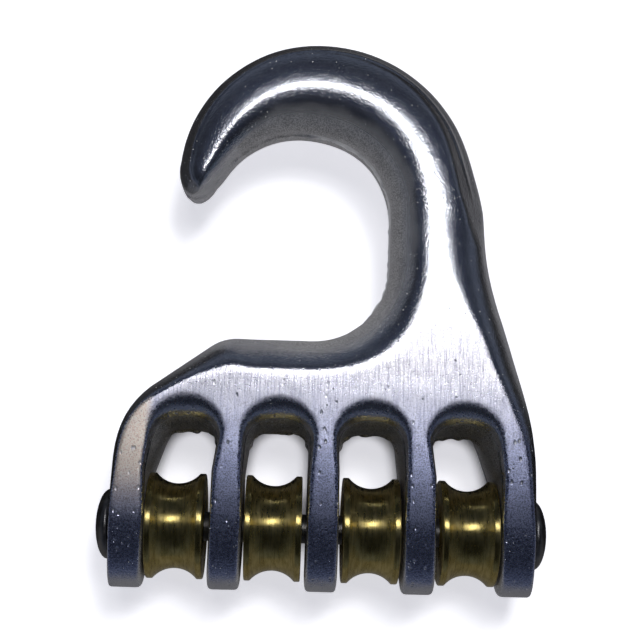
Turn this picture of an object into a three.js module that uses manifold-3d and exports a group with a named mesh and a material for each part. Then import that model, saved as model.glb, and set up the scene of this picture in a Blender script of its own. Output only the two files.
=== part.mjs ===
// Hook block with four sheaves, millimetres, +Z up.
// The block lies on its flat back. +X runs along the axle, +Y from the axle towards the hook,
// and the origin is the middle of the flat back of the crown.
// Everything is built about the middle of the axle and the group is moved to the origin last.

import * as THREE from "three";
import { mergeVertices } from "three/addons/utils/BufferGeometryUtils.js";
import Module from "manifold-3d";

const wasm = await Module();
wasm.setup();

// Driving dimensions
const SHEAVE_COUNT = 4;
const SHEAVE_RADIUS = 12.7;
const SHEAVE_WIDTH = 13.6;
const GROOVE_RADIUS = 7;
const GROOVE_DEPTH = 2.5;
const RIM_CHAMFER = 0.4;
const PIN_RADIUS = 3.5;
const SHEAVE_CLEARANCE = 0.08;
const LEG_CLEARANCE = 0.12;
const HEAD_RADIUS = 8.4;
const HEAD_HEIGHT = 3.5;
const HEAD_RIM = 0.5;
const HEAD_GAP = 0.2;
const LEG_THICKNESS = 8;
const SLOT_WIDTH = 15.5;
const SLOT_TOP = 23.3;
const SLOT_RISE_AT_FACE = 7.8;
const SLOT_FLARE_AT_FACE = 1.5;
const BODY_DEPTH = 30;
const LEG_END = 15;
const LEG_TAPER_START = 25;
const LEG_END_SQUARENESS = 2.4;
const EDGE_ROUNDING = 4;
const CROWN_TOP = 46;
const MOUNT_ABOVE_AXLE = 37;

// Worked out from them
const LEG_PITCH = SLOT_WIDTH + LEG_THICKNESS;
const HALF_BODY = (SHEAVE_COUNT * LEG_PITCH + LEG_THICKNESS) / 2;
const HALF_DEPTH = BODY_DEPTH / 2;
const slotCentres = Array.from(
  { length: SHEAVE_COUNT },
  (_, i) => (i - (SHEAVE_COUNT - 1) / 2) * LEG_PITCH,
);

// The hook is drawn by arcs: one inside the bowl, one where the bowl meets the crown,
// and two outside that meet at the crest. Its back bulges a little beyond the crest's arc.
const BOWL = { x: -7.8, y: 77.2, radius: 23.1 };
const BOWL_FOOT = { x: -3.8, y: CROWN_TOP + 19, radius: 19 };
const CREST_BACK = { x: -3, y: 83, radius: 39.2 };
const CREST_FRONT = { x: -3, y: 87.2, radius: 35 };
const BACK_REACH = 46.3;
const BACK_SWELL = 0.0075;
const CROWN_END = 54;
const NECK_DROP = 26;
const HOOK_END = 162;
const NECK_DEPTH = 27;
const CREST_DEPTH = 21.4;
const TIP_DEPTH = 17;
const NECK_SQUARENESS = 8;
const HOOK_SQUARENESS = 2.2;

function material(colour, roughness, metalness) {
  return new THREE.MeshStandardMaterial({ color: colour, roughness, metalness });
}

function toSolid(geometry) {
  const bare = geometry.index ? geometry.toNonIndexed() : geometry.clone();
  bare.deleteAttribute("normal");
  bare.deleteAttribute("uv");
  const merged = mergeVertices(bare, 1e-4);
  return new wasm.Manifold(
    new wasm.Mesh({
      numProp: 3,
      vertProperties: new Float32Array(merged.attributes.position.array),
      triVerts: new Uint32Array(merged.index.array),
    }),
  );
}

function toGeometry(solid) {
  const mesh = solid.getMesh();
  const geometry = new THREE.BufferGeometry();
  geometry.setAttribute("position", new THREE.BufferAttribute(mesh.vertProperties, 3));
  geometry.setIndex(new THREE.BufferAttribute(mesh.triVerts, 1));
  geometry.computeVertexNormals();
  return geometry;
}

function reshape(geometry, move) {
  const position = geometry.attributes.position;
  const point = new THREE.Vector3();
  for (let i = 0; i < position.count; i += 1) {
    point.fromBufferAttribute(position, i);
    move(point);
    position.setXYZ(i, point.x, point.y, point.z);
  }
  return geometry;
}

// Crown and legs: one flat outline with rounded edges.
// The outline drawn here is the widest one, at the parting line; the rounding is taken off it.
function bodyOutline() {
  const outline = new THREE.Path();
  const bottom = -LEG_END;
  const footStart = Math.asin((CROWN_END - BOWL_FOOT.y) / BOWL_FOOT.radius);
  outline.moveTo(-HALF_BODY, bottom);
  outline.lineTo(HALF_BODY, bottom);
  outline.lineTo(HALF_BODY, 15);
  outline.bezierCurveTo(HALF_BODY - 0.4, 28, 47, 42, 42.4, CROWN_END);
  outline.absarc(BOWL_FOOT.x, BOWL_FOOT.y, BOWL_FOOT.radius, footStart, -Math.PI / 2, true);
  outline.lineTo(-21.4, CROWN_TOP);
  outline.quadraticCurveTo(-25.4, CROWN_TOP, -28.6, 43.6);
  outline.lineTo(-42.4, 33.3);
  outline.quadraticCurveTo(-50, 27, -HALF_BODY + 0.4, 16);
  return outline;
}

// Moves every side of a closed outline inwards by the same distance.
function inset(points, distance) {
  return points.map((point, i) => {
    const before = points[(i + points.length - 1) % points.length];
    const after = points[(i + 1) % points.length];
    const inwards = (a, b) => new THREE.Vector2(a.y - b.y, b.x - a.x).normalize();
    const first = inwards(before, point);
    const second = inwards(point, after);
    const shift = first.clone().add(second).divideScalar(1 + first.dot(second));
    return point.clone().addScaledVector(shift, distance);
  });
}

function crownAndLegs() {
  const points = bodyOutline().getPoints(7);
  const shape = new THREE.Shape(inset(points, EDGE_ROUNDING));
  const geometry = new THREE.ExtrudeGeometry(shape, {
    depth: BODY_DEPTH - 2 * EDGE_ROUNDING,
    bevelSize: EDGE_ROUNDING,
    bevelThickness: EDGE_ROUNDING,
    bevelSegments: 4,
  });
  geometry.translate(0, 0, EDGE_ROUNDING - HALF_DEPTH);
  return toSolid(geometry);
}

// Distance from the bowl's centre to an arc's rim, along the ray at this angle.
function reach(arc, angle) {
  const offset = new THREE.Vector2(arc.x - BOWL.x, arc.y - BOWL.y);
  const along = offset.x * Math.cos(angle) + offset.y * Math.sin(angle);
  return along + Math.sqrt(arc.radius ** 2 - offset.lengthSq() + along ** 2);
}

// A section of the neck, level with the axle, this far below the bowl's centre.
function neckSection(below) {
  const drop = Math.max(BOWL_FOOT.y - BOWL.y + below, 0);
  const inner = BOWL_FOOT.x + Math.sqrt(BOWL_FOOT.radius ** 2 - drop ** 2) - BOWL.x;
  const outer = BACK_REACH + BACK_SWELL * below ** 2;
  const share = THREE.MathUtils.smoothstep(below, 0, NECK_DROP);
  const depth = THREE.MathUtils.lerp(NECK_DEPTH, BODY_DEPTH, share);
  const squareness = THREE.MathUtils.lerp(HOOK_SQUARENESS, NECK_SQUARENESS, share ** 2);
  return { angle: 0, below, inner, outer, depth, squareness };
}

// A section of the curved hook, on a ray from the bowl's centre.
function hookSection(degrees) {
  const angle = THREE.MathUtils.degToRad(degrees);
  const back = THREE.MathUtils.lerp(
    BACK_REACH,
    reach(CREST_BACK, angle),
    THREE.MathUtils.smoothstep(degrees, 0, 25),
  );
  const overCrest = THREE.MathUtils.smoothstep(degrees, 70, 112);
  const outer = THREE.MathUtils.lerp(back, reach(CREST_FRONT, angle), overCrest);
  const overBack = THREE.MathUtils.smoothstep(degrees, 0, 60);
  const crestDepth = THREE.MathUtils.lerp(NECK_DEPTH, CREST_DEPTH, overBack);
  const towardsTip = THREE.MathUtils.smoothstep(degrees, 80, HOOK_END);
  const depth = THREE.MathUtils.lerp(crestDepth, TIP_DEPTH, towardsTip);
  return { angle, below: 0, inner: BOWL.radius, outer, depth, squareness: HOOK_SQUARENESS };
}

// Turns a cosine or sine into the matching place on a superellipse.
function superellipse(value, squareness) {
  const size = Math.abs(value) < 1e-9 ? 0 : Math.abs(value);
  return Math.sign(value) * size ** (2 / squareness);
}

// Neck and hook: rounded sections swept up the neck and about the bowl, closed by a round tip.
function hook() {
  const around = 20;
  const neckRings = 5;
  const sweepRings = 17;
  const tipRings = 4;
  const along = neckRings + sweepRings + tipRings;
  const tube = new THREE.CylinderGeometry(1, 1, 1, around, along);
  reshape(tube, (point) => {
    const ring = Math.round((point.y + 0.5) * along);
    const sweep = Math.min((ring - neckRings) / sweepRings, 1);
    const section =
      ring < neckRings
        ? neckSection(NECK_DROP * (1 - ring / neckRings))
        : hookSection(HOOK_END * sweep);
    const rounded = (value) => superellipse(value, section.squareness);
    const pastSweep = Math.max(ring - neckRings - sweepRings, 0) / tipRings;
    const turn = pastSweep * (Math.PI / 2) * 0.93;
    const shrink = Math.cos(turn);
    const halfWidth = (section.outer - section.inner) / 2;
    const radial = (section.outer + section.inner) / 2 + rounded(point.x) * halfWidth * shrink;
    const beyond = Math.sin(turn) * halfWidth - section.below;
    point.set(
      BOWL.x + radial * Math.cos(section.angle) - beyond * Math.sin(section.angle),
      BOWL.y + radial * Math.sin(section.angle) + beyond * Math.cos(section.angle),
      (rounded(point.z) * section.depth * shrink) / 2,
    );
  });
  return toSolid(tube);
}

// A slot with a round arch, flared towards both faces so that no edge cuts the rope.
function slotTool(centre) {
  const half = SLOT_WIDTH / 2;
  const spring = SLOT_TOP - half;
  const shape = new THREE.Shape();
  shape.moveTo(-half, -2 * HALF_DEPTH);
  shape.lineTo(half, -2 * HALF_DEPTH);
  shape.lineTo(half, spring);
  shape.absarc(0, spring, half, 0, Math.PI, false);
  const depth = BODY_DEPTH + 4;
  const geometry = new THREE.ExtrudeGeometry(shape, {
    depth,
    steps: 10,
    curveSegments: 8,
    bevelEnabled: false,
  });
  geometry.translate(0, 0, -depth / 2);
  reshape(geometry, (point) => {
    const outwards = Math.min(Math.abs(point.z) / HALF_DEPTH, 1);
    const flare = 1 - Math.sqrt(1 - (0.98 * outwards) ** 2);
    const height = THREE.MathUtils.clamp(point.y / spring, 0, 1);
    point.x *= 1 + (SLOT_FLARE_AT_FACE / half) * flare * height;
    point.y += SLOT_RISE_AT_FACE * flare * height;
    point.x += centre;
  });
  return toSolid(geometry);
}

function rodAlongX(radius, length, sides) {
  const geometry = new THREE.CylinderGeometry(radius, radius, length, sides);
  geometry.rotateZ(-Math.PI / 2);
  return toSolid(geometry);
}

// Seen from the side, the legs thin down past the axle to a round end.
function legEnds() {
  const profile = new THREE.Shape();
  const reachDown = LEG_TAPER_START + LEG_END;
  const steps = 14;
  const farUp = 200;
  profile.moveTo(-HALF_DEPTH, farUp);
  for (let i = 0; i <= 2 * steps; i += 1) {
    const turn = (i / steps) * (Math.PI / 2);
    const across = -superellipse(Math.cos(turn), LEG_END_SQUARENESS);
    const down = superellipse(Math.sin(turn), LEG_END_SQUARENESS);
    profile.lineTo(across * HALF_DEPTH, LEG_TAPER_START - reachDown * down);
  }
  profile.lineTo(HALF_DEPTH, farUp);
  const geometry = new THREE.ExtrudeGeometry(profile, {
    depth: 4 * HALF_BODY,
    bevelEnabled: false,
  });
  geometry.translate(0, 0, -2 * HALF_BODY);
  geometry.rotateY(Math.PI / 2);
  return toSolid(geometry);
}

function hookBody() {
  let solid = crownAndLegs().add(hook());
  slotCentres.forEach((centre) => {
    solid = solid.subtract(slotTool(centre));
  });
  solid = solid.intersect(legEnds());
  solid = solid.subtract(rodAlongX(PIN_RADIUS + LEG_CLEARANCE, 4 * HALF_BODY, 24));
  const mesh = new THREE.Mesh(toGeometry(solid), material(0xb9bcc2, 0.35, 1));
  mesh.name = "hook_body";
  return mesh;
}

function turnedAlongX(profile, sides, name, look) {
  const geometry = new THREE.LatheGeometry(profile, sides);
  geometry.rotateZ(-Math.PI / 2);
  const mesh = new THREE.Mesh(toGeometry(toSolid(geometry)), look);
  mesh.name = name;
  return mesh;
}

// Profile points are (distance from the axis, distance along it).
function sheaveProfile() {
  const bore = PIN_RADIUS + SHEAVE_CLEARANCE;
  const side = SHEAVE_WIDTH / 2;
  const halfAngle = Math.acos(1 - GROOVE_DEPTH / GROOVE_RADIUS);
  const grooveCentre = SHEAVE_RADIUS - GROOVE_DEPTH + GROOVE_RADIUS;
  const grooveSteps = 6;
  const points = [
    new THREE.Vector2(bore, -side),
    new THREE.Vector2(SHEAVE_RADIUS - RIM_CHAMFER, -side),
    new THREE.Vector2(SHEAVE_RADIUS, -side + RIM_CHAMFER),
  ];
  for (let i = 0; i <= grooveSteps; i += 1) {
    const angle = THREE.MathUtils.lerp(-halfAngle, halfAngle, i / grooveSteps);
    points.push(
      new THREE.Vector2(
        grooveCentre - GROOVE_RADIUS * Math.cos(angle),
        GROOVE_RADIUS * Math.sin(angle),
      ),
    );
  }
  points.push(new THREE.Vector2(SHEAVE_RADIUS, side - RIM_CHAMFER));
  points.push(new THREE.Vector2(SHEAVE_RADIUS - RIM_CHAMFER, side));
  points.push(new THREE.Vector2(bore, side));
  points.push(points[0].clone());
  return points;
}

function sheave(index) {
  const look = material(0x8f7a33, 0.3, 1);
  const mesh = turnedAlongX(sheaveProfile(), 32, `sheave_${index + 1}`, look);
  mesh.position.x = slotCentres[index];
  return mesh;
}

function axleRivet() {
  const seat = HALF_BODY + HEAD_GAP;
  const domeSteps = 5;
  const halfProfile = [new THREE.Vector2(PIN_RADIUS, seat), new THREE.Vector2(HEAD_RADIUS, seat)];
  for (let i = 0; i <= domeSteps; i += 1) {
    const angle = (i / domeSteps) * (Math.PI / 2);
    const radius = i === domeSteps ? 0 : HEAD_RADIUS * Math.cos(angle);
    const height = HEAD_RIM + (HEAD_HEIGHT - HEAD_RIM) * Math.sin(angle);
    halfProfile.push(new THREE.Vector2(radius, seat + height));
  }
  const mirrored = halfProfile.map((point) => new THREE.Vector2(point.x, -point.y)).reverse();
  return turnedAlongX(mirrored.concat(halfProfile), 32, "axle_rivet", material(0x4a4a4c, 0.35, 1));
}

const block = new THREE.Group();
block.add(hookBody(), axleRivet());
slotCentres.forEach((_, index) => block.add(sheave(index)));
block.position.set(0, -MOUNT_ABOVE_AXLE, HALF_DEPTH);

export default block;
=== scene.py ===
"""Hook block with four brass sheaves, lying on its back on a pale floor."""

import math

import bpy
import numpy as np
from mathutils import Matrix, Vector


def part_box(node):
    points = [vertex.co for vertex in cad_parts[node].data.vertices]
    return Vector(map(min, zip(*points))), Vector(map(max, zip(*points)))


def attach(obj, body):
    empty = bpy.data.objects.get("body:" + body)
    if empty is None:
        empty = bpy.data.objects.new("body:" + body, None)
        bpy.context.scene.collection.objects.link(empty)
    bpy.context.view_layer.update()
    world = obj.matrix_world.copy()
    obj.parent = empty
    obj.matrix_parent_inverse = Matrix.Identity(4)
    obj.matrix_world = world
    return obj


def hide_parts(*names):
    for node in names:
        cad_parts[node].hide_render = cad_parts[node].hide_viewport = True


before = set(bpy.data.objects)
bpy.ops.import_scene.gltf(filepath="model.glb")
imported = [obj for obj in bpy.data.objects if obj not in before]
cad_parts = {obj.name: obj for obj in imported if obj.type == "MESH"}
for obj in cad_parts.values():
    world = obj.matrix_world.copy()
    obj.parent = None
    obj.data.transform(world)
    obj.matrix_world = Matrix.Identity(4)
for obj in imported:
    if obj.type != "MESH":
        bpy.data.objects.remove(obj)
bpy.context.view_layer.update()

MM = 0.001

# ---------------------------------------------------------------- sizes taken from the frame, in mm

SHEAVES = sorted(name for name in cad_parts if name.startswith("sheave"))


def node_box(node):
    low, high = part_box(node)
    return np.array(low) / MM, np.array(high) / MM


BODY_LOW, BODY_HIGH = node_box("hook_body")
PIN_LOW, PIN_HIGH = node_box("axle_rivet")
SHEAVE_LOW, SHEAVE_HIGH = node_box(SHEAVES[0])

AXLE = (PIN_LOW + PIN_HIGH) / 2
HALF_DEPTH = (BODY_HIGH[2] - BODY_LOW[2]) / 2
HALF_BODY = (BODY_HIGH[0] - BODY_LOW[0]) / 2
SHEAVE_RADIUS = (SHEAVE_HIGH[2] - SHEAVE_LOW[2]) / 2
SHEAVE_WIDTH = SHEAVE_HIGH[0] - SHEAVE_LOW[0]
HEAD_RADIUS = (PIN_HIGH[2] - PIN_LOW[2]) / 2
PIN_END = (PIN_HIGH[0] - PIN_LOW[0]) / 2
SHEAVE_PLACES = [(node_box(name)[0][0] + node_box(name)[1][0]) / 2 for name in SHEAVES]

# Sizes that the boxes don't give. Places are measured from the middle of the axle.
PIN_RADIUS = 3.5
BORE_CLEARANCE = 0.08
LEG_CLEARANCE = 0.12

# Sheaves.
GROOVE_RADIUS = 7.0
GROOVE_DEPTH = 2.5
EDGE_BREAK = 0.35
LIP_BREAK = 0.22
RECESS_DEPTH = 0.12
RECESS_RIM = 1.6
RECESS_HUB = 2.6

# Slots: narrow and square-topped at mid depth, wider and arched towards the faces.
SLOT_WIDTH = 15.5
SLOT_TOP = 23.3
SLOT_RISE_AT_FACE = 8.8
SLOT_FLARE_AT_FACE = 0.15
SLOT_LEAN = 0.022
ARCH_LEAN = 0.036
OUTER_WALL_LEAN = 0.055
ARCH_CORNER = 4.6
ARCH_SQUARENESS = 3.4

# Legs and crown, and how wide their edges are rounded on the hook's side and on its back.
LEG_END = 15.0
LEG_TAPER_START = 25.0
LEG_END_SQUARENESS = 2.4
CROWN_TOP = 46.0
CROWN_END = 54.0
LEG_ROUND = 2.8
SHOULDER_ROUND = 7.5
THROAT_ROUND = 13.2
BACK_LEG_ROUND = 3.2
BACK_NECK_ROUND = 10.5
DRAFT = 0.045

# Outline of the hook: its circles are (x, y, radius).
BOWL = (-7.8, 77.2, 23.1)
BOWL_FOOT = (-3.8, CROWN_TOP + 19.0, 19.0)
BOWL_TIGHTER = 1.1
BOWL_OPENS = 2.4
CREST_BACK = (-3.0, 83.0, 39.2)
CREST_FRONT = (-3.0, 87.2, 35.0)
BACK_REACH = 46.3
BACK_SWELL = 0.0075
TIP_START = 156.0

# Section of the hook: half depths, the ridge's place across it, the facet and crease outside.
NECK_DEPTH = 13.6
CREST_THINNER = 3.0
TIP_THINNER = 1.8
RIDGE_AT_NECK = 0.46
RIDGE_AT_TIP = 0.32
FLANK = 4.0
FACET_SLOPE = 0.62
FACET_LEAN = 1.3
CREASE_DEPTH = 0.25
CREASE_INSET = 2.7
CREASE_WIDTH = 0.4

# Marks of the mould: where the seam lies, its heights and how wide the raw skin is.
SEAM_HEIGHT = 1.2
BOWL_SEAM = 0.5
ARCH_SEAM = 1.1
SKIN_WIDTH = 5.4
SKIN_WIDTH_AT_TIP = 0.4

VOXEL = 0.5


# ---------------------------------------------------------------- small helpers


def smoothstep(low, high, value):
    share = np.clip((value - low) / (high - low), 0.0, 1.0)
    return share * share * (3.0 - 2.0 * share)


def lerp(a, b, share):
    return a + (b - a) * share


def smooth_max(a, b, width):
    overlap = np.clip(width - np.abs(a - b), 0.0, None) / width
    return np.maximum(a, b) + overlap * overlap * width / 4.0


def waves(points, wavelength, seed, count=14):
    """Smooth seeded noise between about -1 and 1: a sum of plane waves in random directions."""
    rng = np.random.default_rng(seed)
    total = np.zeros(points[0].shape)
    for _ in range(count):
        direction = rng.normal(size=3)
        direction /= np.linalg.norm(direction)
        turn = 2.0 * math.pi / (wavelength * rng.uniform(0.7, 1.5))
        phase = rng.uniform(0.0, 2.0 * math.pi)
        along = points[0] * direction[0] + points[1] * direction[1] + points[2] * direction[2]
        total += np.sin(along * turn + phase)
    return total / math.sqrt(count * 2.0)


def new_object(name, vertices, faces, smooth=True):
    mesh = bpy.data.meshes.new(name)
    mesh.from_pydata([], [], [])
    mesh.vertices.add(len(vertices))
    mesh.vertices.foreach_set("co", np.asarray(vertices, dtype=np.float32).ravel())
    loops = np.concatenate([np.asarray(face) for face in faces]) if len(faces) else []
    sizes = np.array([len(face) for face in faces])
    mesh.loops.add(len(loops))
    mesh.loops.foreach_set("vertex_index", loops)
    mesh.polygons.add(len(faces))
    mesh.polygons.foreach_set("loop_start", np.concatenate([[0], np.cumsum(sizes)[:-1]]))
    mesh.polygons.foreach_set("loop_total", sizes)
    mesh.update(calc_edges=True)
    mesh.validate()
    mesh.polygons.foreach_set("use_smooth", np.full(len(mesh.polygons), smooth))
    result = bpy.data.objects.new(name, mesh)
    bpy.context.scene.collection.objects.link(result)
    return result


# ---------------------------------------------------------------- the casting as a field


def arc(centre_x, centre_y, radius, start, end, steps):
    angles = np.radians(np.linspace(start, end, steps))
    return [(centre_x + radius * math.cos(a), centre_y + radius * math.sin(a)) for a in angles]


def bezier(points, steps):
    share = np.linspace(0.0, 1.0, steps)[:, None]
    control = [np.array(p, float) for p in points]
    while len(control) > 1:
        control = [a + (b - a) * share for a, b in zip(control, control[1:])]
    return [tuple(p) for p in control[0]]


def reach(circle, angle):
    """Distance from the bowl's centre to a circle's far side, along the ray at this angle."""
    turn = np.radians(angle)
    dx, dy = circle[0] - BOWL[0], circle[1] - BOWL[1]
    along = dx * np.cos(turn) + dy * np.sin(turn)
    return along + np.sqrt(circle[2] ** 2 - dx * dx - dy * dy + along * along)


def hook_reach(angle):
    """Distance from the bowl's centre to the outside of the hook."""
    back = lerp(BACK_REACH, reach(CREST_BACK, angle), smoothstep(0.0, 25.0, angle))
    return lerp(back, reach(CREST_FRONT, angle), smoothstep(70.0, 112.0, angle))


def bowl_reach(angle):
    """Distance from the bowl's centre to its surface, a little tighter under the crest."""
    tighter = BOWL_TIGHTER * smoothstep(35.0, 85.0, angle)
    return BOWL[2] - tighter + BOWL_OPENS * smoothstep(146.0, 172.0, angle) ** 1.5


def around_bowl(angle, radius):
    turn = math.radians(angle)
    return (BOWL[0] + float(radius) * math.cos(turn), BOWL[1] + float(radius) * math.sin(turn))


def outer_chain():
    """The outline from the lower left corner round the right side and crest to the tip."""
    bottom = -LEG_END - 4.0
    points = [(-HALF_BODY, bottom), (HALF_BODY, bottom), (HALF_BODY, 15.0)]
    neck_start = (BOWL[0] + BACK_REACH + BACK_SWELL * (CROWN_END - BOWL[1]) ** 2, CROWN_END)
    points += bezier([points[-1], (HALF_BODY - 0.4, 28.0), (47.0, 42.0), neck_start], 16)[1:]
    for y in np.linspace(CROWN_END, BOWL[1], 9)[1:-1]:
        points.append((BOWL[0] + BACK_REACH + BACK_SWELL * (y - BOWL[1]) ** 2, y))
    points += [around_bowl(angle, hook_reach(angle)) for angle in np.linspace(0.0, TIP_START, 56)]
    return points


def tip_end():
    """The narrow end of the hook, from the outside to the inside."""
    inside = bowl_reach(TIP_START)
    steps = [(9.5, 9.9), (19.0, 6.4), (18.0, 1.9)]
    points = [around_bowl(TIP_START + turn, inside + out) for turn, out in steps]
    start = around_bowl(TIP_START, hook_reach(TIP_START))
    return [start] + points + [around_bowl(TIP_START + 2.0, bowl_reach(TIP_START + 2.0))]


def inner_chain():
    """The outline from the tip round the bowl, along the crown and down the left side."""
    foot = math.degrees(math.asin((BOWL[1] - 12.2 - BOWL_FOOT[1]) / BOWL_FOOT[2]))
    points = [around_bowl(angle, bowl_reach(angle)) for angle in np.linspace(TIP_START, 0.0, 48)]
    points += arc(*BOWL_FOOT, foot, -90.0, 18)
    points += bezier([(-21.4, CROWN_TOP), (-25.4, CROWN_TOP), (-28.6, 43.6)], 7)
    points += bezier([(-42.4, 33.3), (-50.0, 27.0), (-HALF_BODY + 0.4, 16.0)], 9)
    return points + [(-HALF_BODY, 6.0), (-HALF_BODY, -LEG_END - 4.0)]


def chain_distance(x, y, chain):
    """Distance to an open line of points."""
    nearest = np.full(x.shape, 1e9)
    for (ax, ay), (bx, by) in zip(chain, chain[1:]):
        ex, ey = bx - ax, by - ay
        length = max(ex * ex + ey * ey, 1e-9)
        share = np.clip(((x - ax) * ex + (y - ay) * ey) / length, 0.0, 1.0)
        nearest = np.minimum(nearest, (x - ax - share * ex) ** 2 + (y - ay - share * ey) ** 2)
    return np.sqrt(nearest)


def is_inside(x, y, outline):
    inside = np.zeros(x.shape, bool)
    for (ax, ay), (bx, by) in zip(outline, outline[1:] + outline[:1]):
        if ay != by:
            crosses = (ay > y) != (by > y)
            inside ^= crosses & (x < ax + (y - ay) * (bx - ax) / (by - ay))
    return inside


class Casting:
    """The hook body as a field that is negative inside, in mm from the middle of the axle."""

    def __init__(self):
        tip = [np.array(p) for p in bezier(tip_end(), 15)]
        middle = len(tip) // 2
        self.outer = outer_chain() + [tuple(p) for p in tip[: middle + 1]]
        self.inner = [tuple(p) for p in tip[middle:]] + inner_chain()

    def plan(self, x, y):
        """Signed distances to the outer and to the inner outline, negative inside."""
        inside = is_inside(x, y, self.outer + self.inner)
        outer = chain_distance(x, y, self.outer)
        inner = chain_distance(x, y, self.inner)
        outer_nearer = outer <= inner
        return (np.where(inside | ~outer_nearer, -outer, outer),
                np.where(inside | outer_nearer, -inner, inner))

    def section(self, x, y):
        """Widths of the rounding at either outline, its depth, the half depth and squareness."""
        angle = np.degrees(np.arctan2(y - BOWL[1], x - BOWL[0]))
        swept = np.where(y > CROWN_TOP, np.clip(angle, 0.0, TIP_START), 0.0)
        hook = smoothstep(CROWN_TOP, BOWL[1] - 1.0, y)
        width = hook_reach(swept) - bowl_reach(swept)
        ridge = lerp(RIDGE_AT_NECK, RIDGE_AT_TIP, smoothstep(85.0, 150.0, swept))
        up_neck = np.clip((y - CROWN_TOP) / (BOWL[1] - CROWN_TOP), 0.0, 1.0)
        depth = lerp(HALF_DEPTH + 0.4, NECK_DEPTH, up_neck**1.2)
        depth = depth - CREST_THINNER * smoothstep(-15.0, 105.0, swept)
        depth = depth - TIP_THINNER * smoothstep(90.0, 175.0, swept)

        top = lerp(SHOULDER_ROUND, THROAT_ROUND, smoothstep(-36.0, -16.0, x))
        top = top - 2.6 * smoothstep(CROWN_TOP, 60.0, y)
        crown_inner = lerp(LEG_ROUND, top, smoothstep(22.0, 44.0, y))
        crown_outer = lerp(BACK_LEG_ROUND, BACK_NECK_ROUND, smoothstep(5.0, 55.0, y))
        inner = lerp(crown_inner, width * ridge, hook)
        outer = lerp(crown_outer, width * (1.0 - ridge), hook)
        rounding = lerp(0.6 * (crown_inner + crown_outer), depth - FLANK, hook)
        power = lerp(2.1, 1.7, hook * smoothstep(0.0, 70.0, swept))
        return inner, outer, np.minimum(rounding, depth), depth, power

    def block(self, x, y, z, plan):
        """The body before its slots are cut."""
        inner, outer, rounding, depth, power = self.section(x, y)
        draft = DRAFT * np.abs(z) * smoothstep(CROWN_END, CROWN_TOP - 8.0, y)
        across = np.maximum(1.0 + (plan[0] + draft) / outer, 1.0 + (plan[1] + draft) / inner)
        up = (np.abs(z) - depth) / rounding + 1.0
        rim = np.clip(across, 0.0, None) ** power + np.clip(up, 0.0, None) ** power
        rim = (rim ** (1.0 / power) - 1.0) * np.minimum(np.minimum(inner, outer), rounding)
        facet = FACET_SLOPE * (np.abs(z) - FLANK + FACET_LEAN * plan[0])
        facet = facet - 5.0 * smoothstep(CROWN_TOP + 38.0, CROWN_TOP + 6.0, y)
        crease = CREASE_DEPTH * np.exp(-(((plan[0] + CREASE_INSET) / CREASE_WIDTH) ** 2))
        crease = crease * smoothstep(BOWL[1], BOWL[1] + 20.0, y)
        return smooth_max(rim, facet, 0.6) - crease

    def legs(self, y, z):
        """The linished front and back, which thin down to the rounded ends of the legs."""
        down = np.clip((LEG_TAPER_START - y) / (LEG_TAPER_START + LEG_END), 0.0, None)
        power = LEG_END_SQUARENESS
        rim = down**power + (np.abs(z) / HALF_DEPTH) ** power
        return (rim ** (1.0 / power) - 1.0) * HALF_DEPTH

    def slot(self, x, y, z, centre):
        """One slot with an arched top, negative in the open space and wider at the faces."""
        outwards = np.clip(np.abs(z) / HALF_DEPTH, 0.0, 1.0)
        flare = 1.0 - np.sqrt(1.0 - (0.95 * outwards) ** 2)
        above_sheave = np.clip((y - SHEAVE_RADIUS - 0.3) / 9.0, 0.0, 1.0)
        lean = SLOT_LEAN * smoothstep(-20.0, 5.0, y) + ARCH_LEAN * above_sheave
        centre = centre * (1.0 - lean)
        half = SLOT_WIDTH / 2.0 - 0.4 * above_sheave * (1.0 - outwards)
        half_here = half + SLOT_FLARE_AT_FACE * outwards**1.6 * smoothstep(-4.0, 20.0, y)
        outer_side = np.sign(centre) * (x - centre) > 0.0
        wall = OUTER_WALL_LEAN * np.abs(centre) * above_sheave * smoothstep(13.0, 4.0, z)
        half_here = np.where(outer_side, half_here - wall, half_here)
        arch = lerp(ARCH_CORNER, SLOT_WIDTH / 2.0, outwards)
        power = lerp(ARCH_SQUARENESS, 2.0, outwards)
        spring = SLOT_TOP - arch + SLOT_RISE_AT_FACE * flare
        above = np.clip(y - spring, 0.0, None) / arch
        return ((np.abs(x - centre) / half_here) ** power + above**power) ** (1.0 / power) * half - half

    def flash(self, x, y, z, plan):
        """Height of the ragged seam left by the mould, round the bowl and over the slots."""
        ragged = np.clip(0.55 + 0.6 * waves((x, y, z), 2.6, 8), 0.0, 1.3)
        bowl = smoothstep(-1.0, -0.3, plan[1]) * smoothstep(CROWN_TOP, CROWN_TOP + 9.0, y)
        arches = smoothstep(1.2, 0.3, self.nearest_slot(x, y, z)) * smoothstep(18.0, 21.0, y)
        ledge = smoothstep(SEAM_HEIGHT + 0.4, SEAM_HEIGHT, z) * smoothstep(-2.0, 1.0, z)
        return (BOWL_SEAM * bowl + ARCH_SEAM * arches) * ragged * ledge

    def nearest_slot(self, x, y, z):
        return np.minimum.reduce([self.slot(x, y, z, place - AXLE[0]) for place in SHEAVE_PLACES])

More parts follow.
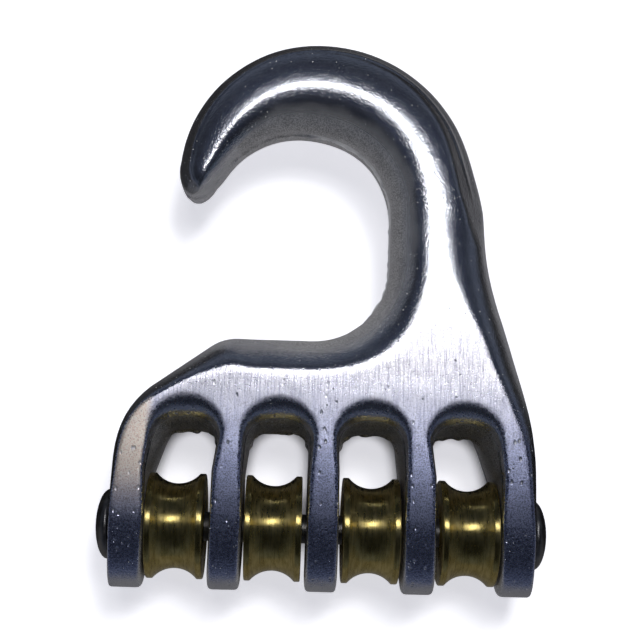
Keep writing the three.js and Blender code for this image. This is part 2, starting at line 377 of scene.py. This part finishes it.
    def as_cast(self, x, y, z):
        """Where the casting was never linished: inside the slots and the flanks of the bowl."""
        _, inner = self.plan(x, y)
        slots = smoothstep(0.6, 0.2, self.nearest_slot(x, y, z)) * smoothstep(13.0, 10.0, np.abs(z))
        uneven = 0.5 * waves((x, y, z), 9.0, 11)
        angle = np.degrees(np.arctan2(y - BOWL[1], x - BOWL[0]))
        towards_tip = smoothstep(95.0, 145.0, angle)
        wide = lerp(SKIN_WIDTH, SKIN_WIDTH_AT_TIP, towards_tip)
        bowl = smoothstep(-wide - 1.2, -wide + 0.8, inner + uneven) * (y > CROWN_TOP - 4.0)
        bowl = bowl * lerp(0.4, 1.0, smoothstep(-wide, -1.0, inner))
        bowl = bowl * lerp(0.35, 1.0, smoothstep(-24.0, -10.0, x + 2.0 * (y - CROWN_TOP)))
        return np.maximum(slots, bowl)

    def seam(self, x, y, z):
        """Where the broken-off seam runs round the bowl; the material paints it near-white as a glint
        along the edge.
        """
        _, inner = self.plan(x, y)
        here = smoothstep(-1.0, 0.3, z) * smoothstep(2.2, 1.6, z) * smoothstep(-1.2, -0.2, inner)
        return here * smoothstep(CROWN_TOP + 3.0, CROWN_TOP + 12.0, y) * smoothstep(-12.0, -2.0, x)

    def __call__(self, x, y, z, plan=None):
        plan = self.plan(x, y) if plan is None else plan
        face = self.legs(y, z)
        field = smooth_max(self.block(x, y, z, plan), face - 0.4, 1.0)
        lip = lerp(1.8, 2.2, smoothstep(0.0, 20.0, y))
        field = smooth_max(field, -self.nearest_slot(x, y, z), lip)
        field = smooth_max(field, face, 0.35)
        field = field - self.flash(x, y, z, plan)
        bore = np.sqrt(y * y + z * z) - PIN_RADIUS - LEG_CLEARANCE
        field = np.maximum(field, -bore)
        return field + 0.01 * waves((x, y, z), 8.0, 3) + 0.006 * waves((x, y, z), 2.2, 4)


def surface_net(field, low, step):
    """One quad mesh on the zero level of a field sampled on a grid."""
    inside = field < 0.0
    shape = np.array(field.shape) - 1
    corners = [(i, j, k) for i in (0, 1) for j in (0, 1) for k in (0, 1)]

    def shifted(values, corner):
        i, j, k = corner
        return values[i : i + shape[0], j : j + shape[1], k : k + shape[2]]

    count = sum(shifted(inside, c).astype(np.int8) for c in corners)
    active = (count > 0) & (count < 8)
    number = np.full(active.shape, -1, np.int64)
    number[active] = np.arange(active.sum())
    total = np.zeros((active.sum(), 3))
    hits = np.zeros(active.sum())
    for first in corners:
        for axis in range(3):
            if first[axis]:
                continue
            second = tuple(1 if a == axis else c for a, c in enumerate(first))
            a, b = shifted(field, first)[active], shifted(field, second)[active]
            crossing = (a < 0.0) != (b < 0.0)
            share = np.where(crossing, a / np.where(crossing, a - b, 1.0), 0.0)
            place = np.tile(np.array(first, float), (len(a), 1))
            place[:, axis] += share
            total += place * crossing[:, None]
            hits += crossing
    base = np.argwhere(active)
    vertices = (base + total / hits[:, None]) * step + low

    quads = []
    for axis in range(3):
        u, v = [a for a in range(3) if a != axis]
        lower = [slice(1, -1)] * 3
        lower[axis] = slice(0, -1)
        upper = list(lower)
        upper[axis] = slice(1, None)
        changes = inside[tuple(lower)] != inside[tuple(upper)]
        places = np.argwhere(changes)
        for k in range(3):
            if k != axis:
                places[:, k] += 1
        going_out = inside[tuple(places.T)]
        ring = []
        for du, dv in ((0, 0), (1, 0), (1, 1), (0, 1)):
            cell = places.copy()
            cell[:, u] -= 1 - du
            cell[:, v] -= 1 - dv
            ring.append(number[tuple(cell.T)])
        ring = np.stack(ring, axis=1)
        flip = going_out if axis != 1 else ~going_out
        quads.append(np.where(flip[:, None], ring, ring[:, ::-1]))
    return vertices, np.concatenate(quads)


def settle(vertices, quads, field, rounds):
    """Evens the quads out and pulls every vertex onto the field's zero level."""
    edges = np.concatenate([quads[:, [a, (a + 1) % 4]] for a in range(4)])
    degree = np.bincount(edges[:, 0], minlength=len(vertices))
    degree = degree + np.bincount(edges[:, 1], minlength=len(vertices))
    step = 0.02
    for turn in range(rounds):
        if turn < rounds - 1:
            near = np.zeros_like(vertices)
            for axis in range(3):
                near[:, axis] = np.bincount(
                    edges[:, 0], vertices[edges[:, 1], axis], minlength=len(vertices)
                ) + np.bincount(edges[:, 1], vertices[edges[:, 0], axis], minlength=len(vertices))
            vertices = lerp(vertices, near / degree[:, None], 0.6)
        here = field(*vertices.T)
        slope = np.stack(
            [field(*(vertices + offset).T) - here for offset in np.eye(3) * step], axis=1
        ) / step
        size = np.clip((slope**2).sum(axis=1), 0.05, None)
        move = -here[:, None] * slope / size[:, None]
        length = np.linalg.norm(move, axis=1, keepdims=True)
        vertices = vertices + move * np.minimum(1.0, VOXEL / np.clip(length, 1e-9, None))
    return vertices


def paint(target, name, values):
    """Stores one number per vertex for the material."""
    layer = target.data.attributes.new(name, "FLOAT", "POINT")
    layer.data.foreach_set("value", np.asarray(values, dtype=np.float32))


def make_hook_body():
    casting = Casting()
    margin = 2.0 * VOXEL
    low = BODY_LOW - AXLE - margin
    high = BODY_HIGH - AXLE + margin
    axes = [np.arange(low[k], high[k] + VOXEL, VOXEL) for k in range(3)]
    plan = casting.plan(*np.meshgrid(axes[0], axes[1], indexing="ij"))
    grid = np.meshgrid(*axes, indexing="ij")
    field = casting(*grid, plan=[distance[:, :, None] for distance in plan])
    vertices, quads = surface_net(field, low, VOXEL)
    vertices = settle(vertices, quads, casting, 3)
    body = new_object("hook_casting", (vertices + AXLE) * MM, quads)
    paint(body, "as_cast", casting.as_cast(*vertices.T))
    paint(body, "seam", casting.seam(*vertices.T))
    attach(body, "frame")
    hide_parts("hook_body")
    return body


# ---------------------------------------------------------------- turned pieces


def turned(name, profile, centre, segments, closed=False):
    """A mesh turned about the axle: the profile is (distance along it, radius) in mm."""
    profile = np.array(profile)
    angles = np.linspace(0.0, 2.0 * math.pi, segments, endpoint=False)
    count = len(profile)
    along = np.repeat(profile[:, 0][None, :], segments, axis=0)
    radius = profile[:, 1][None, :]
    vertices = np.stack(
        [along, radius * np.cos(angles)[:, None], radius * np.sin(angles)[:, None]], axis=2
    ).reshape(-1, 3)
    faces = []
    rows = count if closed else count - 1
    for s in range(segments):
        t = (s + 1) % segments
        for p in range(rows):
            q = (p + 1) % count
            faces.append((s * count + p, s * count + q, t * count + q, t * count + p))
    if not closed:
        for p, order in ((0, 1), (count - 1, -1)):
            faces.append(tuple(s * count + p for s in range(segments))[::order])
    return new_object(name, (vertices + centre) * MM, faces)


def rounded_corner(corner, before, after, radius, steps=4):
    """Points of a small round that replaces a profile's corner."""
    corner, before, after = (np.array(p, float) for p in (corner, before, after))
    start = corner + (before - corner) / np.linalg.norm(before - corner) * radius
    end = corner + (after - corner) / np.linalg.norm(after - corner) * radius
    return bezier([tuple(start), tuple(corner), tuple(end)], steps)


def sheave_profile():
    side = SHEAVE_WIDTH / 2.0
    bore = PIN_RADIUS + BORE_CLEARANCE
    half_angle = math.acos(1.0 - GROOVE_DEPTH / GROOVE_RADIUS)
    lip = GROOVE_RADIUS * math.sin(half_angle)
    middle = SHEAVE_RADIUS - GROOVE_DEPTH + GROOVE_RADIUS
    half = []
    for angle in np.linspace(0.0, half_angle * 0.96, 14):
        half.append((GROOVE_RADIUS * math.sin(angle), middle - GROOVE_RADIUS * math.cos(angle)))
    half += rounded_corner((lip, SHEAVE_RADIUS), half[-1], (side, SHEAVE_RADIUS), LIP_BREAK)
    half += rounded_corner((side, SHEAVE_RADIUS), (lip, SHEAVE_RADIUS), (side, bore), EDGE_BREAK)
    sunk = side - RECESS_DEPTH
    half += [(side, SHEAVE_RADIUS - RECESS_RIM), (sunk, SHEAVE_RADIUS - RECESS_RIM - 0.15)]
    half += [(sunk, bore + RECESS_HUB), (side, bore + RECESS_HUB - 0.15)]
    half += rounded_corner((side, bore), (side, SHEAVE_RADIUS), (0.0, bore), 0.3)
    mirrored = [(-x, r) for x, r in half[:0:-1]]
    return mirrored + half


def make_sheaves():
    pieces = []
    for name, place in zip(SHEAVES, SHEAVE_PLACES):
        centre = np.array([place, AXLE[1], AXLE[2]])
        piece = turned(f"{name}_turned", sheave_profile(), centre, 128, closed=True)
        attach(piece, f"{name}_body")
        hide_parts(name)
        pieces.append(piece)
    return pieces


def rivet_profile():
    seat = HALF_BODY + 0.2
    rim = 0.45
    dome = PIN_END - seat - rim
    half = [(0.0, PIN_RADIUS), (seat - 0.3, PIN_RADIUS)]
    half += [(seat, PIN_RADIUS + 0.3), (seat, HEAD_RADIUS - 0.25), (seat + 0.12, HEAD_RADIUS)]
    for turn in np.radians(np.linspace(4.0, 88.0, 18)):
        half.append((seat + rim + dome * math.sin(turn), HEAD_RADIUS * math.cos(turn)))
    mirrored = [(-x, r) for x, r in half[:0:-1]]
    return mirrored + half


def make_rivet():
    piece = turned("axle_rivet_turned", rivet_profile(), AXLE, 96)
    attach(piece, "frame")
    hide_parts("axle_rivet")
    return piece


# ---------------------------------------------------------------- materials


class Nodes:
    """A short way to write a node tree."""

    def __init__(self, name):
        self.material = bpy.data.materials.new(name)
        self.material.use_nodes = True
        self.tree = self.material.node_tree
        self.shader = self.tree.nodes["Principled BSDF"]

    def link(self, source, target):
        self.tree.links.new(source, target)

    def put(self, node, key, value):
        if isinstance(value, bpy.types.NodeSocket):
            self.link(value, node.inputs[key])
        else:
            node.inputs[key].default_value = value

    def place(self, scale=(1.0, 1.0, 1.0)):
        """Object coordinates in mm, stretched by scale."""
        coordinates = self.tree.nodes.new("ShaderNodeTexCoord")
        mapping = self.tree.nodes.new("ShaderNodeMapping")
        mapping.inputs["Scale"].default_value = [s / MM for s in scale]
        self.link(coordinates.outputs["Object"], mapping.inputs["Vector"])
        return mapping.outputs["Vector"]

    def noise(self, vector, scale, detail=3.0, roughness=0.5):
        node = self.tree.nodes.new("ShaderNodeTexNoise")
        self.put(node, "Vector", vector)
        self.put(node, "Scale", scale)
        self.put(node, "Detail", detail)
        self.put(node, "Roughness", roughness)
        return node.outputs["Fac"]

    def cells(self, vector, scale):
        """Distance to the nearest of many scattered points."""
        node = self.tree.nodes.new("ShaderNodeTexVoronoi")
        self.put(node, "Vector", vector)
        self.put(node, "Scale", scale)
        return node.outputs["Distance"]

    def math(self, operation, a, b=0.0):
        node = self.tree.nodes.new("ShaderNodeMath")
        node.operation = operation
        self.put(node, 0, a)
        self.put(node, 1, b)
        return node.outputs[0]

    def span(self, value, low, high, to_low=0.0, to_high=1.0):
        """A smooth ramp from to_low, where the value is low, to to_high, where it is high."""
        node = self.tree.nodes.new("ShaderNodeMapRange")
        node.interpolation_type = "SMOOTHSTEP"
        self.put(node, "Value", value)
        self.put(node, "From Min", low)
        self.put(node, "From Max", high)
        self.put(node, "To Min", to_low)
        self.put(node, "To Max", to_high)
        return node.outputs["Result"]

    def mix(self, share, a, b):
        node = self.tree.nodes.new("ShaderNodeMix")
        node.data_type = "RGBA"
        self.put(node, 0, share)
        self.put(node, 6, a)
        self.put(node, 7, b)
        return node.outputs[2]

    def bump(self, height, strength, distance, after=None):
        node = self.tree.nodes.new("ShaderNodeBump")
        self.put(node, "Height", height)
        self.put(node, "Strength", strength)
        self.put(node, "Distance", distance * MM)
        if after is not None:
            self.link(after, node.inputs["Normal"])
        return node.outputs["Normal"]

    def axis(self, vector, name):
        node = self.tree.nodes.new("ShaderNodeSeparateXYZ")
        self.link(vector, node.inputs[0])
        return node.outputs[name]

    def attribute(self, name):
        node = self.tree.nodes.new("ShaderNodeAttribute")
        node.attribute_name = name
        return node.outputs["Fac"]

    def openness(self, distance):
        """How much of the sky a point sees, looking no further than this distance."""
        node = self.tree.nodes.new("ShaderNodeAmbientOcclusion")
        self.put(node, "Distance", distance)
        return node.outputs["AO"]

    def tangent(self, axis):
        """Directions that circle the given axis."""
        node = self.tree.nodes.new("ShaderNodeTangent")
        node.direction_type = "RADIAL"
        node.axis = axis
        return node.outputs["Tangent"]

    def normal(self):
        return self.tree.nodes.new("ShaderNodeNewGeometry").outputs["Normal"]


def cast_aluminium():
    m = Nodes("cast_aluminium")
    place = m.place()
    as_cast = m.attribute("as_cast")
    seam = m.attribute("seam")
    up = m.math("ABSOLUTE", m.axis(m.normal(), "Z"))
    along = m.axis(place, "Y")
    flat = m.math("MULTIPLY", m.span(up, 0.965, 0.995), m.span(along, 24.0, 4.0))
    legs = m.math("MULTIPLY", m.span(up, 0.5, 0.9), m.span(along, 4.0, -26.0))
    # first_leg marks the face of the outer left leg, which gets a painted highlight below.
    first_leg = m.math("MULTIPLY", m.span(m.axis(place, "X"), -40.0, -43.0), m.span(up, 0.8, 0.95))
    first_leg = m.math("MULTIPLY", first_leg, m.span(along, -38.0, -22.0))

    lines = m.noise(m.place((4.2, 0.16, 4.2)), 1.0, 4.0, 0.7)
    grain = m.noise(place, 2.0, 1.0, 0.5)
    fine = m.noise(place, 3.2, 2.0, 0.6)
    coarse = m.noise(place, 0.22, 3.0, 0.55)
    shaded_pits = m.span(m.cells(place, 0.42), 0.12, 0.0)
    shaded_pits = m.math("MULTIPLY", shaded_pits, m.span(m.noise(place, 0.12, 2.0), 0.52, 0.62))

    colour = m.mix(m.span(coarse, 0.35, 0.7), (0.72, 0.73, 0.78, 1.0), (0.82, 0.83, 0.86, 1.0))
    brushed = m.mix(m.span(lines, 0.36, 0.6), (0.46, 0.45, 0.53, 1.0), (0.84, 0.82, 0.86, 1.0))
    colour = m.mix(flat, colour, brushed)
    # Painted reflection: the leg faces get a blue colour that stands in for the bluish room mirrored in
    # them.
    speck = m.span(fine, 0.40, 0.58)
    painted_blue_sheen = m.mix(speck, (0.30, 0.34, 0.56, 1.0), (0.66, 0.71, 1.0, 1.0))
    colour = m.mix(m.math("MULTIPLY", legs, 0.9), colour, painted_blue_sheen)
    # Painted highlight: the first leg's face is painted a bright warm tan for the bright zone of light
    # down it.
    painted_warm_highlight = m.mix(speck, (0.96, 0.76, 0.64, 1.0), (1.0, 0.93, 0.84, 1.0))
    colour = m.mix(first_leg, colour, painted_warm_highlight)
    colour = m.mix(m.span(fine, 0.44, 0.34, 0.0, 0.35), colour, (0.20, 0.21, 0.27, 1.0))
    skin = m.math("ADD", m.math("MULTIPLY", fine, 0.85), m.math("MULTIPLY", coarse, 0.15))
    rusty = m.mix(m.span(skin, 0.38, 0.60), (0.26, 0.255, 0.25, 1.0), (0.66, 0.65, 0.65, 1.0))
    colour = m.mix(m.math("MULTIPLY", as_cast, 0.9), colour, rusty)
    # Painted highlight: the seam is painted near-white and less metallic as a bright glint along the
    # bowl's edge.
    colour = m.mix(seam, colour, (0.95, 0.95, 0.95, 1.0))
    # Painted shade: the pits are painted near-black for the shade inside them; they are also pressed in
    # as hollows below.
    colour = m.mix(m.math("MULTIPLY", shaded_pits, 0.8), colour, (0.12, 0.12, 0.13, 1.0))
    dents_and_glints = m.span(m.cells(m.place((1.0, 0.6, 1.0)), 0.6), 0.27, 0.07)
    dents_and_glints = m.math("MULTIPLY", dents_and_glints, m.span(m.noise(place, 0.15, 2.0), 0.46, 0.54))
    dents_and_glints = m.math("MULTIPLY", dents_and_glints, m.span(along, 2.0, -12.0))
    # Painted highlight: small dents on the legs are painted near-white as glints of light; they are
    # also pressed in as hollows below.
    colour = m.mix(m.math("MULTIPLY", dents_and_glints, 0.8), colour, (0.95, 0.95, 1.0, 1.0))
    specks_and_glints = m.span(m.cells(place, 0.75), 0.10, 0.05)
    specks_and_glints = m.math("MULTIPLY", specks_and_glints, m.span(m.noise(place, 0.25, 2.0), 0.46, 0.54))
    specks_and_glints = m.math("MULTIPLY", specks_and_glints, m.math("SUBTRACT", 1.0, flat))
    # Painted highlight: tiny specks are painted white and made non-metallic as glints; they are also
    # pressed in as hollows below.
    colour = m.mix(specks_and_glints, colour, (1.0, 1.0, 1.0, 1.0))
    rough = m.span(grain, 0.35, 0.65, 0.15, 0.25)
    rough = m.math("ADD", rough, m.math("MULTIPLY", flat, 0.10))
    rough = m.math("ADD", rough, m.math("MULTIPLY", legs, 0.10))
    rough = m.math("ADD", rough, m.math("MULTIPLY", first_leg, 0.05))
    rough = m.math("MAXIMUM", rough, m.math("MULTIPLY", as_cast, 0.42))
    m.put(m.shader, "Base Color", colour)
    # Less metal on the raw skin, and where the painted seam glint, glint specks and leg highlight are,
    # so the lamps light those like paint.
    dull = m.math("MAXIMUM", m.math("MULTIPLY", as_cast, 0.42), m.math("MULTIPLY", seam, 0.6))
    dull = m.math("MAXIMUM", dull, m.math("MAXIMUM", specks_and_glints, m.math("MULTIPLY", first_leg, 0.3)))
    m.put(m.shader, "Metallic", m.math("SUBTRACT", 1.0, dull))
    m.put(m.shader, "Roughness", rough)

    tumble = m.bump(coarse, 0.05, 0.3)
    rugged = m.math("MAXIMUM", m.math("MULTIPLY", legs, 0.35), m.math("MAXIMUM", as_cast, seam))
    even = m.math("MULTIPLY", flat, -0.42)
    tumbled = m.math("ADD", even, m.math("ADD", 0.46, m.math("MULTIPLY", rugged, 0.3)))
    speckle = m.bump(grain, tumbled, 0.125, tumble)
    sparkle = m.math("ADD", m.math("MULTIPLY", flat, -0.25), 0.50)
    speckle = m.bump(fine, m.math("ADD", sparkle, m.math("MULTIPLY", rugged, 0.45)), 0.07, speckle)
    linished = m.bump(lines, m.math("MULTIPLY", flat, 0.6), 0.05, speckle)
    hollows = m.math("SUBTRACT", 1.0, m.math("MAXIMUM", m.math("MAXIMUM", shaded_pits, dents_and_glints), specks_and_glints))
    pitted = m.bump(hollows, 0.6, 0.25, linished)
    m.link(pitted, m.shader.inputs["Normal"])
    return m.material


def turned_brass():
    m = Nodes("turned_brass")
    place = m.place()
    rings = m.noise(m.place((1.0, 0.03, 0.03)), 4.0, 6.0, 0.75)
    stain = m.noise(m.place((1.0, 0.3, 0.3)), 0.9, 4.0, 0.6)
    colour = m.mix(m.span(stain, 0.35, 0.7), (0.47, 0.37, 0.12, 1.0), (0.74, 0.60, 0.24, 1.0))
    colour = m.mix(m.span(rings, 0.5, 0.68, 0.0, 0.6), colour, (0.16, 0.11, 0.03, 1.0))
    m.put(m.shader, "Base Color", colour)
    m.put(m.shader, "Metallic", 1.0)
    m.put(m.shader, "Roughness", m.span(stain, 0.3, 0.7, 0.26, 0.33))
    m.put(m.shader, "Anisotropic", 0.9)
    m.put(m.shader, "Anisotropic Rotation", 0.25)
    m.link(m.tangent("X"), m.shader.inputs["Tangent"])
    wear = m.bump(m.noise(place, 1.5, 3.0), 0.05, 0.08)
    m.link(m.bump(rings, 0.25, 0.04, wear), m.shader.inputs["Normal"])
    return m.material


def dark_steel():
    m = Nodes("dark_steel")
    place = m.place()
    stain = m.noise(place, 0.5, 4.0, 0.6)
    colour = m.mix(m.span(stain, 0.3, 0.7), (0.16, 0.155, 0.155, 1.0), (0.27, 0.265, 0.26, 1.0))
    m.put(m.shader, "Base Color", colour)
    m.put(m.shader, "Metallic", 1.0)
    m.put(m.shader, "Roughness", m.span(stain, 0.3, 0.7, 0.32, 0.46))
    m.link(m.bump(m.noise(place, 2.0, 4.0), 0.2, 0.06), m.shader.inputs["Normal"])
    return m.material


PAPER_GLARE = (15.0, 38.0)


def pale_paper():
    """Pale paper with soft shadows, cast by the floor light and painted as shade where the paper's glow
    is hemmed in. Its mirror image in the metal is dim and fades outwards.
    """
    m = Nodes("pale_floor")
    m.put(m.shader, "Base Color", (0.86, 0.86, 0.87, 1.0))
    m.put(m.shader, "Roughness", 0.9)
    m.put(m.shader, "Specular IOR Level", 0.1)
    m.put(m.shader, "Emission Color", (0.80, 0.80, 0.85, 1.0))
    # Painted shade: the paper's glow is dimmed where it is hemmed in, so narrow gaps and the ground
    # under the block go dark.
    m.put(m.shader, "Emission Strength", m.span(m.openness(0.006), 0.32, 0.78, 0.0, 0.80))
    place = m.place()
    across = m.math("SUBTRACT", m.axis(place, "X"), PAPER_GLARE[0])
    along = m.math("SUBTRACT", m.axis(place, "Y"), PAPER_GLARE[1])
    away = m.math("SQRT", m.math("ADD", m.math("MULTIPLY", across, across),
                                 m.math("MULTIPLY", along, along)))
    bright = m.math("MULTIPLY", m.span(away, 85.0, 45.0, 0.02, 0.20),
                    m.span(m.axis(place, "Y"), -8.0, 8.0, 0.05, 1.0))
    below = m.span(m.axis(place, "Y"), -40.0, -55.0, 0.0, 0.14)
    image = m.tree.nodes.new("ShaderNodeEmission")
    m.put(image, "Color", (0.97, 0.96, 1.0, 1.0))
    m.put(image, "Strength", m.math("ADD", bright, below))
    path = m.tree.nodes.new("ShaderNodeLightPath")
    choose = m.tree.nodes.new("ShaderNodeMixShader")
    m.link(path.outputs["Is Glossy Ray"], choose.inputs[0])
    m.link(m.shader.outputs[0], choose.inputs[1])
    m.link(image.outputs[0], choose.inputs[2])
    m.link(choose.outputs[0], m.tree.nodes["Material Output"].inputs["Surface"])
    return m.material


# ---------------------------------------------------------------- floor, light and camera

FLOOR_REACH = 3.0
LIGHT_DISTANCE = 2.5
GLOWS = (0.14, 0.075, 0.045, 0.028, 0.018)
CAMERA_FROM_AXLE = (-8.6, 0.0, 326.5)
CAMERA_TILT = 9.0
CAMERA_PAN = 1.2
CAMERA_ROLL = 1.6
FOCAL_LENGTH = 4.13125  # in half widths of the picture


def make_floor():
    size = FLOOR_REACH
    corners = [(-size, -size, 0.0), (size, -size, 0.0), (size, size, 0.0), (-size, size, 0.0)]
    floor = new_object("floor", corners, [(0, 1, 2, 3)], smooth=False)
    floor.data.materials.append(pale_paper())


def area_light(name, sideways, upwards, width, height, radiance, colour):
    """A light far away: its direction and size are angles in degrees about the block."""
    light = bpy.data.lights.new(name, "AREA")
    light.shape = "RECTANGLE"
    light.size = 2.0 * LIGHT_DISTANCE * math.tan(math.radians(width / 2.0))
    light.size_y = 2.0 * LIGHT_DISTANCE * math.tan(math.radians(height / 2.0))
    light.energy = radiance * math.pi * light.size * light.size_y
    light.color = colour
    holder = bpy.data.objects.new(name, light)
    bpy.context.scene.collection.objects.link(holder)
    direction = Vector((math.tan(math.radians(sideways)), math.tan(math.radians(upwards)), 1.0))
    holder.location = direction.normalized() * LIGHT_DISTANCE
    holder.rotation_euler = (-direction).to_track_quat("-Z", "Y").to_euler()
    return holder


def make_room():
    """A dark bluish room with a paler band of wall along the horizon."""
    world = bpy.data.worlds.new("studio")
    bpy.context.scene.world = world
    world.use_nodes = True
    tree = world.node_tree
    background = tree.nodes["Background"]
    background.inputs["Color"].default_value = (0.62, 0.73, 1.0, 1.0)
    direction = tree.nodes.new("ShaderNodeTexCoord")
    split = tree.nodes.new("ShaderNodeSeparateXYZ")
    tree.links.new(direction.outputs["Generated"], split.inputs[0])
    band = tree.nodes.new("ShaderNodeMapRange")
    band.interpolation_type = "SMOOTHSTEP"
    for key, value in (("From Min", 0.58), ("From Max", 0.18), ("To Min", 0.02), ("To Max", 0.12)):
        band.inputs[key].default_value = value
    tree.links.new(split.outputs["Z"], band.inputs["Value"])
    tree.links.new(band.outputs["Result"], background.inputs["Strength"])
    wall = tree.nodes.new("ShaderNodeBackground")
    wall.inputs["Color"].default_value = (0.80, 0.80, 0.83, 1.0)
    path = tree.nodes.new("ShaderNodeLightPath")
    choose = tree.nodes.new("ShaderNodeMixShader")
    tree.links.new(path.outputs["Is Camera Ray"], choose.inputs[0])
    tree.links.new(background.outputs[0], choose.inputs[1])
    tree.links.new(wall.outputs[0], choose.inputs[2])
    tree.links.new(choose.outputs[0], tree.nodes["World Output"].inputs["Surface"])


def make_light():
    """One bright strip, a bluish glow that fades out round it, and a light for the floor."""
    make_room()
    area_light("key", 4.0, 17.0, 28.0, 11.0, 7.0, (1.0, 1.0, 1.0))
    for step, radiance in enumerate(GLOWS):
        shade = (0.50 - 0.03 * step, 0.59 - 0.02 * step, 1.0)
        spread = 14.0 * step
        area_light(f"glow_{step + 1}", 4.0, 20.0, 36.0 + spread, 20.0 + spread, radiance, shade)
    over_floor = area_light("over_floor", 11.0, 25.0, 12.0, 12.0, 26.0, (1.0, 1.0, 1.0))
    over_floor.visible_glossy = False
    bpy.context.scene.view_settings.view_transform = "Standard"


def make_camera():
    camera = bpy.data.objects.new("camera", bpy.data.cameras.new("camera"))
    bpy.context.scene.collection.objects.link(camera)
    tilt, pan, roll = (math.radians(turn) for turn in (CAMERA_TILT, CAMERA_PAN, CAMERA_ROLL))
    level = math.cos(tilt)
    forward = Vector((math.sin(pan) * level, math.sin(tilt), -level * math.cos(pan)))
    right = forward.cross(Vector((0.0, 1.0, 0.0))).normalized()
    above = right.cross(forward)
    turn = Matrix.Rotation(roll, 3, forward)
    right, above = turn.inverted() @ right, turn.inverted() @ above
    rotation = Matrix((right, above, -forward)).transposed()
    place = Vector(AXLE * MM) + Vector(CAMERA_FROM_AXLE) * MM
    camera.matrix_world = Matrix.Translation(place) @ rotation.to_4x4()
    camera.data.sensor_fit = "HORIZONTAL"
    camera.data.angle = 2.0 * math.atan(1.0 / FOCAL_LENGTH)
    bpy.context.scene.camera = camera


# ---------------------------------------------------------------- the scene


def main():
    make_camera()
    body = make_hook_body()
    rivet = make_rivet()
    sheaves = make_sheaves()
    body.data.materials.append(cast_aluminium())
    rivet.data.materials.append(dark_steel())
    brass = turned_brass()
    for sheave in sheaves:
        sheave.data.materials.append(brass)
    make_floor()
    make_light()


main()
